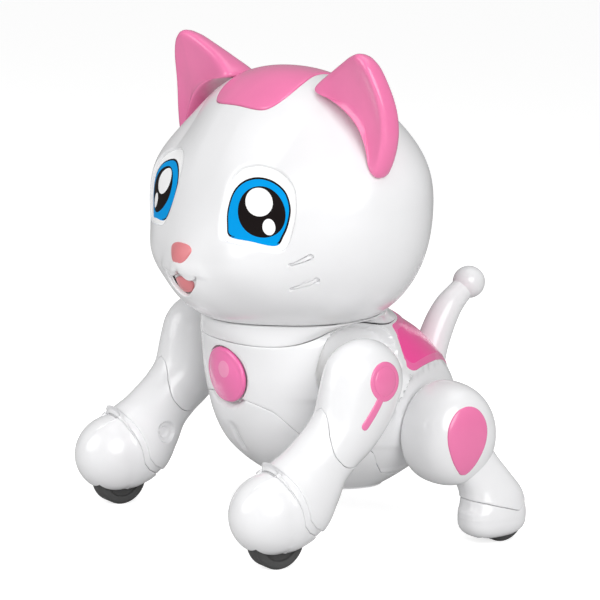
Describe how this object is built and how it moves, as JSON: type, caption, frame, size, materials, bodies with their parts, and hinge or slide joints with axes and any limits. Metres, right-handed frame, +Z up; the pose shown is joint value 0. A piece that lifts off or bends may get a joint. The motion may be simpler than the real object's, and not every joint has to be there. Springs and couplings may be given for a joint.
{
  "type": "robot kitten toy",
  "caption": "Walking robot kitten toy with a big turning head, swinging legs on small wheels, a chest button and a wagging tail.",
  "frame": {"origin": "floor level under the middle of the toy's overall box", "axes": "+X is the kitten's left and the mirror axis, it faces -Y, +Z is up"},
  "size_m": [0.153, 0.1597, 0.1996],
  "materials": {
    "white_gloss": "glossy moulded white",
    "pink_gloss": "glossy moulded pink",
    "magenta_lens": "clear magenta, faceted",
    "salmon_gloss": "glossy salmon pink",
    "eye_print": "blue print under a clear face",
    "dark_rubber": "soft dark grey",
    "inner_plastic": "plain grey moulding",
    "gear_plastic": "waxy off-white gear plastic",
    "steel": "brushed",
    "circuit_green": "green board",
    "battery_wrap": "blue shrink wrap, no print",
    "speaker_paper": "black paper cone"
  },
  "bodies": {
    "body": {"upper_body_shell": "white_gloss", "belly_shell": "white_gloss", "battery_door": "white_gloss", "back_panel": "magenta_lens", "neck_collar": "white_gloss", "neck_plate": "inner_plastic", "head_motor": "steel", "leg_motor_left": "steel", "leg_motor_right": "steel", "gearbox_frame": "inner_plastic", "battery_cells": "battery_wrap", "main_board": "circuit_green", "speaker": "speaker_paper", "button_switch": "inner_plastic"},
    "head": {"face_shell": "white_gloss", "head_rear_cover": "white_gloss", "crown_cap": "pink_gloss", "ear_left": "pink_gloss", "ear_right": "pink_gloss", "eye_left": "eye_print", "eye_right": "eye_print", "nose": "salmon_gloss", "mouth_insert": "salmon_gloss", "head_turntable": "inner_plastic"},
    "neck_pinion": {"head_pinion": "gear_plastic"},
    "front_leg_left": {"upper_arm_left": "white_gloss", "arm_inlay_left": "pink_gloss", "forearm_left": "white_gloss", "paw_left": "white_gloss", "front_axle_left": "steel", "shoulder_gear_left": "gear_plastic"},
    "reduction_left": {"reduction_gear_left": "gear_plastic"},
    "drive_pinion_left": {"motor_pinion_left": "gear_plastic"},
    "hind_leg_left": {"thigh_left": "white_gloss", "thigh_inlay_left": "pink_gloss", "shank_left": "white_gloss", "foot_left": "white_gloss", "rear_axle_left": "steel", "hip_pin_left": "steel"},
    "front_roller_left": {"front_wheel_left": "dark_rubber"},
    "rear_roller_left": {"rear_wheel_left": "dark_rubber"},
    "front_leg_right": {"upper_arm_right": "white_gloss", "arm_inlay_right": "pink_gloss", "forearm_right": "white_gloss", "paw_right": "white_gloss", "front_axle_right": "steel", "shoulder_gear_right": "gear_plastic"},
    "reduction_right": {"reduction_gear_right": "gear_plastic"},
    "drive_pinion_right": {"motor_pinion_right": "gear_plastic"},
    "hind_leg_right": {"thigh_right": "white_gloss", "thigh_inlay_right": "pink_gloss", "shank_right": "white_gloss", "foot_right": "white_gloss", "rear_axle_right": "steel", "hip_pin_right": "steel"},
    "front_roller_right": {"front_wheel_right": "dark_rubber"},
    "rear_roller_right": {"rear_wheel_right": "dark_rubber"},
    "tail": {"tail": "white_gloss"},
    "chest_button": {"chest_button": "magenta_lens"},
    "power_switch": {"power_switch": "inner_plastic"}
  },
  "joints": [
    {"name": "head_turn", "type": "hinge", "parent": "body", "child": "head", "pos_m": [0, -0.0162, 0.0833], "axis": [0, -0.1392, 0.9903], "range_deg": [-35, 35]},
    {"name": "neck_pinion_turn", "type": "hinge", "parent": "body", "child": "neck_pinion", "pos_m": [0, 0.00296, 0.08599], "axis": [0, -0.1392, 0.9903], "range_deg": [-108, 108]},
    {"name": "shoulder_left", "type": "hinge", "parent": "body", "child": "front_leg_left", "pos_m": [0.05, -0.0219, 0.072], "axis": [1, 0, 0], "range_deg": [-18, 18]},
    {"name": "reduction_left_turn", "type": "hinge", "parent": "body", "child": "reduction_left", "pos_m": [0.025, -0.01139, 0.05869], "axis": [1, 0, 0], "range_deg": [-46, 46]},
    {"name": "drive_pinion_left_turn", "type": "hinge", "parent": "body", "child": "drive_pinion_left", "pos_m": [0.0205, -0.00848, 0.04444], "axis": [1, 0, 0], "range_deg": [-92, 92]},
    {"name": "hip_left", "type": "hinge", "parent": "body", "child": "hind_leg_left", "pos_m": [0.05, 0.0266, 0.044], "axis": [1, 0, 0], "range_deg": [-15, 15]},
    {"name": "front_wheel_left_spin", "type": "hinge", "parent": "front_leg_left", "child": "front_roller_left", "pos_m": [0.0588, -0.0619, 0.0112], "axis": [1, 0, 0], "continuous": true},
    {"name": "rear_wheel_left_spin", "type": "hinge", "parent": "hind_leg_left", "child": "rear_roller_left", "pos_m": [0.0595, 0.0476, 0.0112], "axis": [1, 0, 0], "continuous": true},
    {"name": "shoulder_right", "type": "hinge", "parent": "body", "child": "front_leg_right", "pos_m": [-0.05, -0.0219, 0.072], "axis": [1, 0, 0], "range_deg": [-18, 18]},
    {"name": "reduction_right_turn", "type": "hinge", "parent": "body", "child": "reduction_right", "pos_m": [-0.025, -0.01139, 0.05869], "axis": [1, 0, 0], "range_deg": [-46, 46]},
    {"name": "drive_pinion_right_turn", "type": "hinge", "parent": "body", "child": "drive_pinion_right", "pos_m": [-0.0205, -0.00848, 0.04444], "axis": [1, 0, 0], "range_deg": [-92, 92]},
    {"name": "hip_right", "type": "hinge", "parent": "body", "child": "hind_leg_right", "pos_m": [-0.05, 0.0266, 0.044], "axis": [1, 0, 0], "range_deg": [-15, 15]},
    {"name": "front_wheel_right_spin", "type": "hinge", "parent": "front_leg_right", "child": "front_roller_right", "pos_m": [-0.0588, -0.0619, 0.0112], "axis": [1, 0, 0], "continuous": true},
    {"name": "rear_wheel_right_spin", "type": "hinge", "parent": "hind_leg_right", "child": "rear_roller_right", "pos_m": [-0.0595, 0.0476, 0.0112], "axis": [1, 0, 0], "continuous": true},
    {"name": "tail_wag", "type": "hinge", "parent": "body", "child": "tail", "pos_m": [0, 0.0546, 0.067], "axis": [0, 0.3987, 0.9171], "range_deg": [-20, 20]},
    {"name": "chest_button_press", "type": "slide", "parent": "body", "child": "chest_button", "axis": [0, 0.9854, 0.1701], "range_m": [0, 0.0015], "stiffness_N_per_m": 200},
    {"name": "power_switch_slide", "type": "slide", "parent": "body", "child": "power_switch", "axis": [1, 0, 0], "range_m": [0, 0.003]}
  ],
  "couplings": [
    {"joint": "neck_pinion_turn", "follows": "head_turn", "ratio": -3},
    {"joint": "reduction_left_turn", "follows": "shoulder_left", "ratio": -2.5},
    {"joint": "drive_pinion_left_turn", "follows": "shoulder_left", "ratio": 5},
    {"joint": "reduction_right_turn", "follows": "shoulder_right", "ratio": -2.5},
    {"joint": "drive_pinion_right_turn", "follows": "shoulder_right", "ratio": 5}
  ]
}
